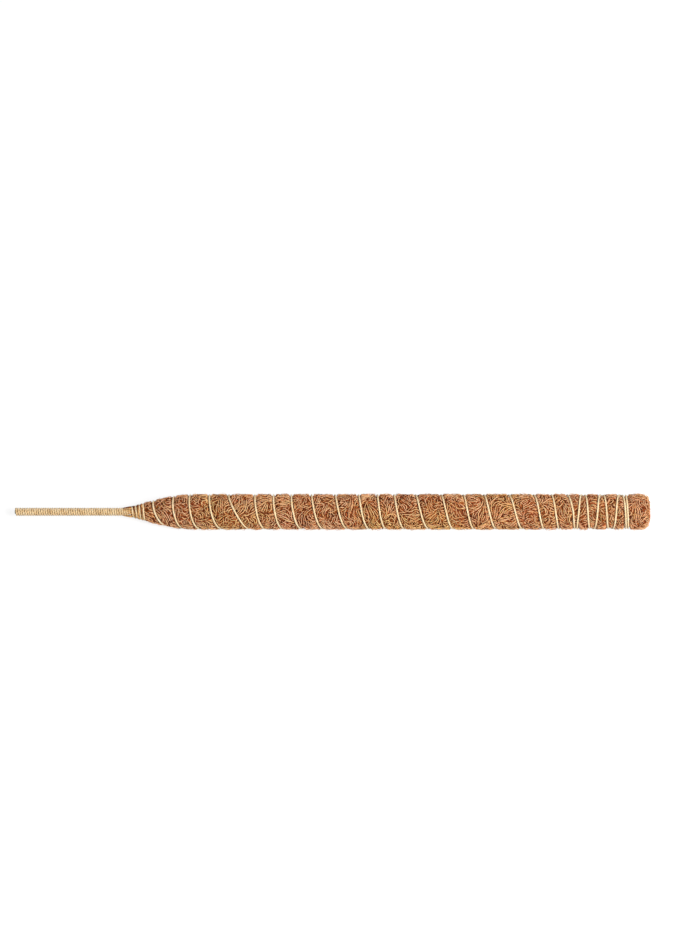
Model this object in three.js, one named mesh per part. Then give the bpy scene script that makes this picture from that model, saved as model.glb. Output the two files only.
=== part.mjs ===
// A moss pole for climbing plants: a bendable wire core, wrapped in twine at the stake end and rolled in coir
// above it, with more twine wound round the coir to hold it.
// Sizes are in millimetres. The pole lies along X as on a table, with its stake towards -X and Z up.
import * as THREE from "three";

// Driving dimensions
const COIR_LENGTH = 610; // roll of coir, from the neck to the top end
const STAKE_LENGTH = 136; // stake below the coir, pushed into the soil
const POLE_RADIUS = 21; // coir at its crests, between the turns of twine
const NECK_LENGTH = 76; // taper from the stake to the full roll
const TOP_ROUNDING = 9; // rounded rim at the top end
const MAT_THICKNESS = 6; // outer coir mat, under the twine
const NECK_WALL = 1.1; // coir where the mat closes on the core
const WIRE_DIAMETER = 2.8; // soft steel wire
const SHEATH_DIAMETER = 4.6; // plastic sheath round the wire
const TWINE_DIAMETER = 2.2; // jute twine
const TWINE_SINK = 0.4; // twine below the crests of the coir
const GROOVE_REACH = 5; // coir that slopes down to the twine, on each side of it
const REST_FLAT = 0.7; // coir pressed flat along the underside
const FILLING_RECESS = 1.5; // filling below the top end
const CORE_RECESS = 4; // core below the top end
const CLEARANCE = 0.3; // between pieces that touch

// Twine wound on the stake and round the coir
const WRAP_GAP = 0.5; // between turns that lie side by side
const NECK_GAP = 2.1; // between turns on the thin end of the neck
const NECK_TURNS = 3.25; // close turns on the thin end of the neck
const NECK_LASHING_END = 1.53125; // turn where the neck lashing meets the spiral binding
const SPIRAL_TURNS = 21; // turns counted from the last close one, passing the front at whole numbers
const SPIRAL_OFFSET = -5.4; // straight line through the turns, at turn 0
const SPIRAL_MARGIN = 86.6; // coir left past the last turn of that line
const SPIRAL_END = 20.53125; // turn where the spiral binding meets the top lashing
const HAND_WAVES = [ // unevenness of winding by hand: size in pitches, length and phase in turns
  { size: 0.194, turns: 24, phase: 0.253 },
  { size: 0.117, turns: 4.3, phase: -0.169 },
  { size: 0.088, turns: 6, phase: 0.321 },
  { size: 0.06, turns: 7.9, phase: 0.059 },
  { size: 0.053, turns: 3.65, phase: 0.022 },
];
const SPIRAL_LEAN_LENGTH = 11; // how far the back of a turn runs ahead of its front, at the neck
const SLIPPED_TURN = 5; // one turn that slants more than its neighbours
const SLIP_LENGTH = 6; // how far it strays at the top and underneath
const SLIP_REACH = 0.75; // turns on each side of it that stray with it
const LASHING_FIRST_PITCH = 17; // top lashing, from the spiral to its first turn
const LASHING_PITCH = 22; // its turns out and back
const LASHING_HOOK_PITCH = 29.3; // its half turn back from the top end
const LASHING_TIE_PITCH = 16.4; // its last half turn, to the knot
const LASHING_EXTRA_DEPTH = 2.5; // coir pulled in further where its turns cross, at the back
const CROSSING_START = 0.2; // where that begins, in turns from the front
const CROSSING_FULL = 0.35; // where it is fully drawn in
const OUT_SHARE = 0.35; // pace of its turns out across the front, against their mean; they cross at the back
const RETURN_SHARE = 0.5; // the same for its turns back
const DOUBLED_SHARE = 2.5; // the same for its doubled turn, which lies aslant
const TIE_SHARE = -0.9; // the same for its last half turn, which doubles back to the knot
const LASHING_LEGS = [ // out to the top end, a doubled turn there, and back across to the knot
  { turns: 1, advance: LASHING_FIRST_PITCH, share: OUT_SHARE },
  { turns: 2, advance: LASHING_PITCH, share: OUT_SHARE },
  { turns: 1.5, advance: TWINE_DIAMETER + WRAP_GAP, share: DOUBLED_SHARE },
  { turns: 0.5, advance: -LASHING_HOOK_PITCH, share: OUT_SHARE },
  { turns: 2, advance: -LASHING_PITCH, share: RETURN_SHARE },
  { turns: 0.5, advance: LASHING_TIE_PITCH, share: TIE_SHARE },
];
const LEGS_OUT = 3; // legs that lie on the coir, before the twine comes back over them
const KNOT_TURN = 21.5; // turn of the twine that the knot is tied round, at the back
const KNOT_LOOPS = 1.75;
const FRONT_ANGLE = THREE.MathUtils.degToRad(123.75); // where whole turns pass, upwards and to the front

// Facets
const SIDES = 16; // round the coir, and steps in a turn of twine on it
const CORE_SIDES = 8; // round the core, and steps in a turn of twine on it
const TWINE_SIDES = 5;
const WRAP_SIDES = 4;
const RIM_RINGS = 4;

// Sizes that follow from those
const TURN = 2 * Math.PI;
const TWINE_RADIUS = TWINE_DIAMETER / 2;
const SHEATH_RADIUS = SHEATH_DIAMETER / 2;
const BORE_RADIUS = SHEATH_RADIUS + CLEARANCE;
const GROOVE_DEPTH = TWINE_SINK + TWINE_DIAMETER + CLEARANCE;
const GROOVE_FLOOR = 1.5 * TWINE_DIAMETER;
const RING_SPACING = 1.8 * TWINE_DIAMETER;
const NECK_RADIUS = BORE_RADIUS + NECK_WALL + GROOVE_DEPTH;
const NECK_START = TWINE_RADIUS + CLEARANCE;
const NECK_PITCH = TWINE_DIAMETER + NECK_GAP;
const SPIRAL_PITCH = (COIR_LENGTH - SPIRAL_MARGIN - SPIRAL_OFFSET) / SPIRAL_TURNS;
const BINDING_END = LASHING_LEGS.reduce((sum, leg) => sum + leg.turns, SPIRAL_TURNS);
const LIFT_START = LASHING_LEGS.slice(0, LEGS_OUT).reduce((sum, leg) => sum + leg.turns, SPIRAL_TURNS);
const LIFT_END = BINDING_END - LASHING_LEGS.at(-1).turns;
const LIFT = TWINE_DIAMETER + 4 * CLEARANCE;
const LIFT_REACH = 3.2 * TWINE_DIAMETER;
const KNOT_RADIUS = (TWINE_DIAMETER + CLEARANCE) / Math.cos(Math.PI / CORE_SIDES);
const AXIS_HEIGHT = POLE_RADIUS - REST_FLAT;
const MAT_ANGLE = TURN / SIDES / 2; // half a facet, so that one facet faces straight down

const clamp01 = (value) => THREE.MathUtils.clamp(value, 0, 1);

// A hump of height 1 that falls smoothly to 0 at a distance of 1
const hump = (distance) => Math.cos((clamp01(distance) * Math.PI) / 2) ** 2;

// A point at a distance along the pole, at an angle round it
function polar(along, angle, radius) {
  return new THREE.Vector3(along, radius * Math.cos(angle), radius * Math.sin(angle));
}

// Closed surface through rings of points: capped at both ends, or joined from the last ring to the first
function loft(rings, joined) {
  const count = rings[0].length;
  const points = rings.flat();
  const triangles = [];
  const bands = joined ? rings.length : rings.length - 1;
  for (let band = 0; band < bands; band += 1) {
    const near = band * count;
    const far = ((band + 1) % rings.length) * count;
    for (let side = 0; side < count; side += 1) {
      const next = (side + 1) % count;
      triangles.push(near + side, far + side, far + next, near + side, far + next, near + next);
    }
  }
  if (!joined) {
    const last = points.length - count;
    for (let side = 1; side < count - 1; side += 1) {
      triangles.push(0, side, side + 1, last, last + side + 1, last + side);
    }
  }
  return closedGeometry(points, triangles);
}

// Geometry from points and triangles, turned so that its faces point out
function closedGeometry(points, triangles) {
  let volume = 0;
  for (let corner = 0; corner < triangles.length; corner += 3) {
    const [a, b, c] = triangles.slice(corner, corner + 3).map((index) => points[index]);
    volume += a.dot(b.clone().cross(c));
  }
  const geometry = new THREE.BufferGeometry().setFromPoints(points);
  geometry.setIndex(volume < 0 ? triangles.slice().reverse() : triangles);
  geometry.computeVertexNormals();
  return geometry;
}

// A ring of points round the axis
function ring(along, radius, sides, firstAngle) {
  return Array.from({ length: sides }, (_, side) => polar(along, firstAngle + (side * TURN) / sides, radius));
}

// A tube of twine along points, with one corner of its section turned the way outwardAt says
function twineTube(points, sides, outwardAt) {
  const rings = points.map((point, index) => {
    const before = points[Math.max(index - 1, 0)];
    const after = points[Math.min(index + 1, points.length - 1)];
    const along = after.clone().sub(before).normalize();
    const across = along.clone().cross(outwardAt(point)).normalize();
    const out = across.clone().cross(along);
    return Array.from({ length: sides }, (_, side) => {
      const angle = (side * TURN) / sides;
      return point.clone()
        .addScaledVector(out, TWINE_RADIUS * Math.cos(angle))
        .addScaledVector(across, TWINE_RADIUS * Math.sin(angle));
    });
  });
  return loft(rings, false);
}

const fromAxis = (point) => new THREE.Vector3(0, point.y, point.z).normalize();

// Least gap between stretches of one tube that are apart along it, measured on its points and midpoints
function printLeastGap(name, points) {
  const samples = [];
  let travelled = 0;
  points.forEach((point, index) => {
    if (index > 0) {
      const before = points[index - 1];
      const step = point.distanceTo(before);
      samples.push({ at: travelled + step / 2, point: point.clone().lerp(before, 0.5) });
      travelled += step;
    }
    samples.push({ at: travelled, point });
  });
  let least = Infinity;
  samples.forEach((sample, index) => {
    for (const other of samples.slice(index + 1)) {
      if (other.at - sample.at > 4 * TWINE_DIAMETER) {
        least = Math.min(least, sample.point.distanceTo(other.point) - TWINE_DIAMETER);
      }
    }
  });
  console.log(`${name}: least gap to itself ${least.toFixed(2)} mm`);
}

// Outline of the coir at its crests: the neck swells to the full roll, and the top rim is rounded
function crestRadius(along) {
  const swell = Math.sin((clamp01(along / NECK_LENGTH) * Math.PI) / 2) ** 1.1;
  const intoRim = clamp01((along - COIR_LENGTH + TOP_ROUNDING) / TOP_ROUNDING);
  const rimDrop = TOP_ROUNDING * (1 - Math.sqrt(1 - intoRim ** 2));
  return NECK_RADIUS + (POLE_RADIUS - NECK_RADIUS) * swell - rimDrop;
}

// Inside of the outer mat: round the core in the neck, and round the filling above it
function matInnerRadius(along) {
  const beforeRim = Math.min(along, COIR_LENGTH - TOP_ROUNDING);
  return Math.max(BORE_RADIUS, crestRadius(beforeRim) - GROOVE_DEPTH - MAT_THICKNESS);
}

// Distance along the pole of the twine round the coir, by its count of turns
function bindingAlong(turn) {
  if (turn <= SPIRAL_TURNS) {
    const neckLine = NECK_START + NECK_PITCH * (turn + NECK_TURNS);
    const waves = HAND_WAVES.reduce((sum, wave) => {
      return sum + wave.size * Math.sin(TURN * (turn / wave.turns + wave.phase));
    }, 0);
    const lean = (SPIRAL_LEAN_LENGTH / 2) * (1 - turn / SPIRAL_TURNS) * (1 - Math.cos(TURN * turn));
    const stray = turn - SLIPPED_TURN;
    const slip = SLIP_LENGTH * Math.sin(TURN * stray) * hump(Math.abs(stray) / SLIP_REACH);
    return Math.max(neckLine, SPIRAL_OFFSET + SPIRAL_PITCH * (turn + waves) + lean + slip);
  }
  let along = bindingAlong(SPIRAL_TURNS);
  let start = SPIRAL_TURNS;
  for (const leg of LASHING_LEGS) {
    const part = THREE.MathUtils.clamp(turn - start, 0, leg.turns);
    const held = ((1 - leg.share) * Math.sin(TURN * (start + part))) / TURN;
    along += leg.advance * (part - held);
    start += leg.turns;
  }
  return along;
}

// How much deeper the top lashing sits at the back than the spiral, between its knot and its last half turn
function bindingSink(turn) {
  const fromFront = Math.abs(turn - Math.round(turn));
  const atBack = THREE.MathUtils.smoothstep(fromFront, CROSSING_START, CROSSING_FULL);
  const pastKnot = THREE.MathUtils.smoothstep(turn, KNOT_TURN + 1 / SIDES, KNOT_TURN + 0.5);
  const beforeEnd = THREE.MathUtils.smoothstep(LIFT_END - turn, 0.5, 1);
  return LASHING_EXTRA_DEPTH * atBack * pastKnot * beforeEnd;
}

// How far the twine rises to pass over the turns that were wound before it
function bindingLift(turn) {
  const along = bindingAlong(turn);
  let lift = 0;
  const crossing = turn >= LIFT_START && turn <= LIFT_END;
  for (let under = turn - 1; crossing && under > SPIRAL_TURNS - 2; under -= 1) {
    lift = Math.max(lift, LIFT * hump(Math.abs(along - bindingAlong(under)) / LIFT_REACH));
  }
  return lift;
}

// Middle of the twine at a step of its winding, kept just above the flat that the pole rests on
function bindingStep(turn) {
  const along = bindingAlong(turn);
  const seat = crestRadius(along) - GROOVE_DEPTH - bindingSink(turn) + CLEARANCE + TWINE_RADIUS;
  const point = polar(along, FRONT_ANGLE + turn * TURN, seat + bindingLift(turn));
  point.z = Math.max(point.z, TWINE_RADIUS + CLEARANCE / 2 - AXIS_HEIGHT);
  return point;
}

// Middle of the twine at any turn, on the straight run between two steps
function bindingPoint(turn) {
  const step = Math.floor(turn * SIDES);
  const rest = turn * SIDES - step;
  return bindingStep(step / SIDES).lerp(bindingStep((step + 1) / SIDES), rest);
}

// Points of the binding from one turn to another
function bindingPoints(from, to) {
  const points = [bindingPoint(from)];
  for (let step = Math.floor(from * SIDES) + 1; step < to * SIDES; step += 1) {
    points.push(bindingStep(step / SIDES));
  }
  points.push(bindingPoint(to));
  return points;
}

// Draws the first point of a run in towards the second
function trimStart(points, length) {
  const inwards = points[1].clone().sub(points[0]).setLength(length);
  points[0].add(inwards);
}

function trimEnd(points, length) {
  points.reverse();
  trimStart(points, length);
  points.reverse();
}

// The run of the spiral that the knot holds, and the knot's loops round it
const knotRun = [bindingStep(KNOT_TURN), bindingStep(KNOT_TURN + 1 / SIDES)];
const knotMiddle = knotRun[0].clone().lerp(knotRun[1], 0.5);
const knotAngle = FRONT_ANGLE + (KNOT_TURN + 0.5 / SIDES) * TURN;

// How far the twine and its knot draw the coir in at a place on the mat
function drawnIn(along, angle) {
  const part = (angle - FRONT_ANGLE) / TURN;
  let groove = 0;
  const pastEnd = 1 / SIDES;
  for (let turn = Math.ceil(-NECK_TURNS - pastEnd - part); turn + part < BINDING_END + pastEnd; turn += 1) {
    const sink = bindingSink(turn + part);
    const apart = Math.abs(along - bindingAlong(turn + part)) - (GROOVE_FLOOR + sink) / 2;
    groove = Math.max(groove, (GROOVE_DEPTH + sink) * hump(apart / GROOVE_REACH));
  }
  const knotReach = KNOT_RADIUS + TWINE_RADIUS;
  const besideKnot = Math.abs(along - knotMiddle.x) < knotReach + 1.2 * RING_SPACING;
  const underKnot = besideKnot && Math.cos(angle - knotAngle) > Math.cos(TURN / SIDES);
  return underKnot ? GROOVE_DEPTH + knotReach - TWINE_RADIUS : groove;
}

function coreWire() {
  const start = ring(-STAKE_LENGTH, WIRE_DIAMETER / 2, CORE_SIDES, 0);
  const end = ring(COIR_LENGTH - CORE_RECESS, WIRE_DIAMETER / 2, CORE_SIDES, 0);
  return loft([start, end], false);
}

function coreSheath() {
  const start = -STAKE_LENGTH;
  const end = COIR_LENGTH - CORE_RECESS;
  const inside = WIRE_DIAMETER / 2 + CLEARANCE;
  const profile = [[start, inside], [start, SHEATH_RADIUS], [end, SHEATH_RADIUS], [end, inside]];
  return loft(profile.map(([along, radius]) => ring(along, radius, CORE_SIDES, 0)), true);
}

function stakeWrap() {
  const pitch = TWINE_DIAMETER + WRAP_GAP;
  const first = -STAKE_LENGTH + TWINE_RADIUS;
  const last = -CLEARANCE - TWINE_RADIUS;
  const steps = Math.floor(((last - first) / pitch) * CORE_SIDES);
  const radius = SHEATH_RADIUS + CLEARANCE + TWINE_RADIUS;
  const points = [];
  for (let step = 0; step <= steps; step += 1) {
    points.push(polar(first + (step * (last - first)) / steps, (step * TURN) / CORE_SIDES, radius));
  }
  printLeastGap("stake_wrap", points);
  return twineTube(points, WRAP_SIDES, fromAxis);
}

function fibreFilling() {
  const end = COIR_LENGTH - FILLING_RECESS;
  const outside = (along) => matInnerRadius(along) - CLEARANCE;
  let start = 0;
  while (outside(start) < BORE_RADIUS + NECK_WALL) {
    start += 1;
  }
  const steps = Math.ceil((NECK_LENGTH - start) / (2 * RING_SPACING));
  const profile = [[end, BORE_RADIUS], [start, BORE_RADIUS]];
  for (let step = 0; step <= steps; step += 1) {
    const along = start + (step * (NECK_LENGTH - start)) / steps;
    profile.push([along, outside(along)]);
  }
  profile.push([end, outside(end)]);
  return loft(profile.map(([along, radius]) => ring(along, radius, SIDES, MAT_ANGLE)), true);
}

function coirMat() {
  const straightEnd = COIR_LENGTH - TOP_ROUNDING;
  const steps = Math.ceil(straightEnd / RING_SPACING);
  const stations = Array.from({ length: steps + 1 }, (_, step) => (step * straightEnd) / steps);
  for (let rim = 1; rim <= RIM_RINGS; rim += 1) {
    stations.push(straightEnd + TOP_ROUNDING * Math.sin((rim * TURN) / 4 / RIM_RINGS));
  }
  const outer = stations.map((along) => Array.from({ length: SIDES }, (_, side) => {
    const angle = MAT_ANGLE + (side * TURN) / SIDES;
    const vertex = polar(along, angle, crestRadius(along) - drawnIn(along, angle));
    vertex.z = Math.max(vertex.z, -AXIS_HEIGHT);
    return vertex;
  }));
  const neckSteps = Math.ceil(NECK_LENGTH / (2 * RING_SPACING));
  const inner = [ring(COIR_LENGTH, matInnerRadius(COIR_LENGTH), SIDES, MAT_ANGLE)];
  for (let step = neckSteps; step >= 0; step -= 1) {
    const along = (step * NECK_LENGTH) / neckSteps;
    inner.push(ring(along, matInnerRadius(along), SIDES, MAT_ANGLE));
  }
  return loft([...outer, ...inner], true);
}

function neckLashing() {
  const points = bindingPoints(-NECK_TURNS, NECK_LASHING_END);
  const lead = points[0].clone().sub(points[1]).setLength(TWINE_DIAMETER);
  points.unshift(points[0].clone().add(lead));
  trimEnd(points, CLEARANCE / 2);
  printLeastGap("neck_lashing", points);
  return twineTube(points, TWINE_SIDES, fromAxis);
}

function spiralBinding() {
  const points = bindingPoints(NECK_LASHING_END, SPIRAL_END);
  trimStart(points, CLEARANCE / 2);
  trimEnd(points, CLEARANCE / 2);
  printLeastGap("spiral_binding", points);
  return twineTube(points, TWINE_SIDES, fromAxis);
}

function topLashing() {
  const points = bindingPoints(SPIRAL_END, BINDING_END);
  trimStart(points, CLEARANCE / 2);
  trimEnd(points, CLEARANCE);
  printLeastGap("top_lashing", points);
  return twineTube(points, TWINE_SIDES, fromAxis);
}

function tieKnot() {
  const along = knotRun[1].clone().sub(knotRun[0]).normalize();
  const out = fromAxis(knotMiddle);
  const across = along.clone().cross(out).normalize();
  const pitch = TWINE_DIAMETER + WRAP_GAP;
  const steps = KNOT_LOOPS * CORE_SIDES;
  const points = [];
  for (let step = 0; step <= steps; step += 1) {
    const angle = (step * TURN) / CORE_SIDES;
    points.push(knotMiddle.clone()
      .addScaledVector(along, pitch * (step / CORE_SIDES - KNOT_LOOPS / 2))
      .addScaledVector(out, KNOT_RADIUS * Math.cos(angle))
      .addScaledVector(across, KNOT_RADIUS * Math.sin(angle)));
  }
  printLeastGap("tie_knot", points);
  const fromRun = (point) => {
    const offset = point.clone().sub(knotMiddle);
    return offset.addScaledVector(along, -offset.dot(along)).normalize();
  };
  return twineTube(points, TWINE_SIDES, fromRun);
}

const steel = { color: 0x9a9c9e, roughness: 0.35, metalness: 1 };
const greenPlastic = { color: 0x3f5a3a, roughness: 0.5, metalness: 0 };
const paleJute = { color: 0xdabe96, roughness: 0.9, metalness: 0 };
const bindingJute = { color: 0xf2d9ac, roughness: 0.9, metalness: 0 };
const coir = { color: 0xb38056, roughness: 0.95, metalness: 0 };
const innerCoir = { color: 0x8f5f3c, roughness: 0.95, metalness: 0 };

const pieces = {
  core_wire: [coreWire(), steel],
  core_sheath: [coreSheath(), greenPlastic],
  stake_wrap: [stakeWrap(), paleJute],
  fibre_filling: [fibreFilling(), innerCoir],
  coir_mat: [coirMat(), coir],
  neck_lashing: [neckLashing(), bindingJute],
  spiral_binding: [spiralBinding(), bindingJute],
  top_lashing: [topLashing(), bindingJute],
  tie_knot: [tieKnot(), bindingJute],
};

const mossPole = new THREE.Group();
mossPole.position.set((STAKE_LENGTH - COIR_LENGTH) / 2, 0, AXIS_HEIGHT);
for (const [name, [geometry, finish]] of Object.entries(pieces)) {
  const mesh = new THREE.Mesh(geometry, new THREE.MeshStandardMaterial(finish));
  mesh.name = name;
  mossPole.add(mesh);
}

export default mossPole;
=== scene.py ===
# %% [markdown]
# # A moss pole for climbing plants
# The pole is a bendable wire core, wrapped in jute twine at the stake end and rolled in coir above it, with more
# twine wound round the coir. This lesson dresses the plain solids of the part: it lays thousands of coir strands,
# twists every run of twine from three yarns, and gives each piece a finish made of nodes. We start by loading the
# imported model. Its frame is ours, in metres, with the pole along X and the stake towards -X.

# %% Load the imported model
import math

import bmesh
import bpy
import numpy as np
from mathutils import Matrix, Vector, noise


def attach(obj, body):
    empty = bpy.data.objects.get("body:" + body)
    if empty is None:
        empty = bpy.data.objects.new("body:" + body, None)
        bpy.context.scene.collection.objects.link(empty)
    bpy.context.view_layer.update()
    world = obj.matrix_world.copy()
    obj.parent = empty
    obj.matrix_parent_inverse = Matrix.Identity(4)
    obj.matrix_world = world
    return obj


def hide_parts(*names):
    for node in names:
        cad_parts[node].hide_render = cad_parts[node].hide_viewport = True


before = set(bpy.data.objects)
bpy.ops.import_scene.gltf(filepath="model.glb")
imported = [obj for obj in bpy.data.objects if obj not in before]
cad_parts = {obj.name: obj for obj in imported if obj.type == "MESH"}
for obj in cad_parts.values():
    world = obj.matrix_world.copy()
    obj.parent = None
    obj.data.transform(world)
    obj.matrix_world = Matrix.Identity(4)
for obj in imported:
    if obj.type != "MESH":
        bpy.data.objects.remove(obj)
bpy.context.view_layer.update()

print("packed nodes:", ", ".join(sorted(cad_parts)))

# %% [markdown]
# ## The outline of the roll
# The coir is a roll 610 mm long that swells out of a thin neck and ends in a rounded rim. Typing in a table of
# radii would work, but the part draws its outline with one formula, so we repeat that formula with the same sizes.
# Numpy works it out for a whole array of places at once, which we need later for a hundred thousand points.

# %% Sizes of the roll
MM = 0.001
TURN = 2 * math.pi
COIR_LENGTH = 610 * MM
STAKE_LENGTH = 136 * MM
POLE_RADIUS = 21 * MM
NECK_LENGTH = 76 * MM
TOP_ROUNDING = 9 * MM
MAT_THICKNESS = 6 * MM
SHEATH_RADIUS = 2.3 * MM
WIRE_RADIUS = 1.4 * MM
TWINE_DIAMETER = 2.2 * MM
TWINE_RADIUS = TWINE_DIAMETER / 2
CLEARANCE = 0.3 * MM
TWINE_COVER = 0.4 * MM  # from the crests of the coir down to the twine
LEAST_WALL = 1.1 * MM  # of coir round the core
FLATTENING = 0.7 * MM  # of the coir that lies on the floor
SWELL_POWER = 1.1  # shapes the neck
BORE_RADIUS = SHEATH_RADIUS + CLEARANCE
GROOVE_DEPTH = TWINE_COVER + TWINE_DIAMETER + CLEARANCE
NECK_RADIUS = BORE_RADIUS + LEAST_WALL + GROOVE_DEPTH
AXIS_HEIGHT = POLE_RADIUS - FLATTENING
NECK_X = (STAKE_LENGTH - COIR_LENGTH) / 2
STRAIGHT_END = COIR_LENGTH - TOP_ROUNDING
RIM_LENGTH = TOP_ROUNDING * math.pi / 2


def roll_radius(along):
    """Radius of the coir between the turns of twine, before the top rim is rounded."""
    swell = np.sin(np.clip(along / NECK_LENGTH, 0, 1) * math.pi / 2) ** SWELL_POWER
    return NECK_RADIUS + (POLE_RADIUS - NECK_RADIUS) * swell


def crest_radius(along):
    """Radius of the coir with its rounded rim."""
    into_rim = np.clip((along - STRAIGHT_END) / TOP_ROUNDING, 0, 1)
    return roll_radius(along) - TOP_ROUNDING * (1 - np.sqrt(1 - into_rim**2))


def place(along, angle, radius):
    """Points at a distance along the pole, an angle round it and a radius from its axis."""
    along, angle, radius = np.broadcast_arrays(along, angle, radius)
    across, up = radius * np.cos(angle), AXIS_HEIGHT + radius * np.sin(angle)
    return np.stack([NECK_X + along, across, up], axis=-1)


print(f"neck {2 * NECK_RADIUS / MM:.1f} mm across, roll {2 * POLE_RADIUS / MM:.1f} mm across")

# %% [markdown]
# ## The run of the twine
# One length of twine holds the coir. It is wound closely on the neck, then in an open spiral, and near the top it
# goes out, doubles, and comes back over itself, so that the strands cross in a row of Vs. A helix primitive would
# be too even, because hands wound this one. The part describes the run by its count of turns with slow waves in
# its pitch. We keep that count, so the twine lies where the solids are.

# %% Where the twine runs
NECK_GAP = 2.1 * MM
WRAP_GAP = 0.5 * MM
NECK_TURNS = 3.25
NECK_LASHING_END = 1.53125
SPIRAL_TURNS = 21
SPIRAL_OFFSET = -5.4 * MM
LASHING_ROOM = 86.6 * MM  # at the top end, past the spiral
SPIRAL_PITCH = (COIR_LENGTH - LASHING_ROOM - SPIRAL_OFFSET) / SPIRAL_TURNS
SPIRAL_END = 20.53125
HAND_WAVES = (  # size in pitches, length and phase in turns
    (0.194, 24, 0.253), (0.117, 4.3, -0.169), (0.088, 6, 0.321), (0.06, 7.9, 0.059), (0.053, 3.65, 0.022),
)
LEAN_LENGTH = 11 * MM  # how far the back of a turn runs ahead of its front, at the neck
SLIPPED_TURN = 5
SLIP_LENGTH = 6 * MM
SLIP_REACH = 0.75
LASHING_EXTRA_DEPTH = 2.5 * MM
CROSSING_START, CROSSING_FULL = 0.2, 0.35  # where the lashing sinks further, in turns from the front
LASHING_LEGS = (  # turns, the advance of each, and its pace across the front against that
    (1, 17 * MM, 0.35), (2, 22 * MM, 0.35), (1.5, TWINE_DIAMETER + WRAP_GAP, 2.5),
    (0.5, -29.3 * MM, 0.35), (2, -22 * MM, 0.5), (0.5, 16.4 * MM, -0.9),
)
BINDING_END = SPIRAL_TURNS + sum(turns for turns, advance, share in LASHING_LEGS)
LIFT_START = SPIRAL_TURNS + sum(turns for turns, advance, share in LASHING_LEGS[:3])
LIFT_END = BINDING_END - LASHING_LEGS[-1][0]
LIFT = TWINE_DIAMETER + 4 * CLEARANCE
LIFT_REACH = 3.2 * TWINE_DIAMETER
LOOK_BACK = 9  # turns, to find a run that the twine passes over
FIRST_CROSSED = SPIRAL_TURNS - 2
FRONT_ANGLE = math.radians(123.75)  # of the side towards the camera, where turns are counted from
KNOT_TURN = 21.5
KNOT_STEP = 1 / 16  # of a turn, the straight run of twine that the knot is tied round


def hump(distance):
    """A smooth hump of height 1 that falls to 0 at a distance of 1."""
    return np.cos(np.clip(distance, 0, 1) * math.pi / 2) ** 2


def twine_along(turn):
    """Distance along the pole at which the twine passes on a turn."""
    wound = np.minimum(turn, SPIRAL_TURNS)
    close = TWINE_RADIUS + CLEARANCE + (TWINE_DIAMETER + NECK_GAP) * (wound + NECK_TURNS)
    waves = sum(size * np.sin(TURN * (wound / turns + phase)) for size, turns, phase in HAND_WAVES)
    lean = LEAN_LENGTH / 2 * (1 - wound / SPIRAL_TURNS) * (1 - np.cos(TURN * wound))
    stray = wound - SLIPPED_TURN
    slip = SLIP_LENGTH * np.sin(TURN * stray) * hump(np.abs(stray) / SLIP_REACH)
    along = np.maximum(close, SPIRAL_OFFSET + SPIRAL_PITCH * (wound + waves) + lean + slip)
    start = SPIRAL_TURNS
    for turns, advance, share in LASHING_LEGS:
        part = np.clip(turn - start, 0, turns)
        along = along + advance * (part - (1 - share) * np.sin(TURN * (start + part)) / TURN)
        start += turns
    return along


def smooth_step(value, low, high):
    """Rises smoothly from 0 at one value to 1 at another."""
    part = np.clip((value - low) / (high - low), 0, 1)
    return part**2 * (3 - 2 * part)


def at_back(turn):
    """1 where the twine passes behind the pole, 0 where it passes its front."""
    return smooth_step(np.abs(turn - np.round(turn)), CROSSING_START, CROSSING_FULL)


def before_last(turn):
    """Falls from 1 to 0 between one turn and half a turn before the end of the lashing's way back."""
    return smooth_step(LIFT_END - turn, 0.5, 1)


def twine_sink(turn):
    """How much deeper the top lashing sits at the back than the spiral, between its knot and its last turn."""
    past_knot = smooth_step(turn, KNOT_TURN + KNOT_STEP, KNOT_TURN + 0.5)
    return LASHING_EXTRA_DEPTH * at_back(turn) * past_knot * before_last(turn)


def twine_lift(turn):
    """How far the twine rises to pass over the turns below it."""
    lift = np.zeros_like(turn)
    height = (LIFT - LASHING_EXTRA_DEPTH * (1 - before_last(turn))) * at_back(turn)
    for back in range(1, LOOK_BACK + 1):
        crossing = (turn >= LIFT_START) & (turn <= LIFT_END) & (turn - back > FIRST_CROSSED)
        apart = np.abs(twine_along(turn) - twine_along(turn - back))
        lift = np.where(crossing, np.maximum(lift, height * hump(apart / LIFT_REACH)), lift)
    return lift


def twine_middle(turn):
    """Points on the middle of the twine, kept just above the floor."""
    along = twine_along(turn)
    seat = crest_radius(along) - GROOVE_DEPTH - twine_sink(turn) + CLEARANCE + TWINE_RADIUS
    points = place(along, FRONT_ANGLE + turn * TURN, seat + twine_lift(turn))
    points[..., 2] = np.maximum(points[..., 2], TWINE_RADIUS + CLEARANCE / 2)
    return points


print(f"the twine makes {BINDING_END + NECK_TURNS:.2f} turns, {SPIRAL_PITCH / MM:.1f} mm apart in the spiral")

# %% [markdown]
# ## Grooves that the twine bites
# Taut twine sinks into soft coir, and the coir bulges between the turns. A cloth simulation could press it in, but
# the shape is known: the closer a place is to a turn, the deeper it lies. So one function tells how far the coir
# is drawn in anywhere, and both the mat and the strands on it follow that.

# %% How far the coir is drawn in
GROOVE_FLOOR = 1.2 * TWINE_DIAMETER
GROOVE_REACH = 2.4 * MM
CLOSE_END = 0.5  # the turn at which the close turns on the neck end
NECK_NARROWING = 0.5  # of the grooves there, where the coir swells up between the turns
KNOT_MIDDLE = KNOT_TURN + KNOT_STEP / 2
KNOT_REACH = 9 * MM
KNOT_POCKET = 3.2 * MM


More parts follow.
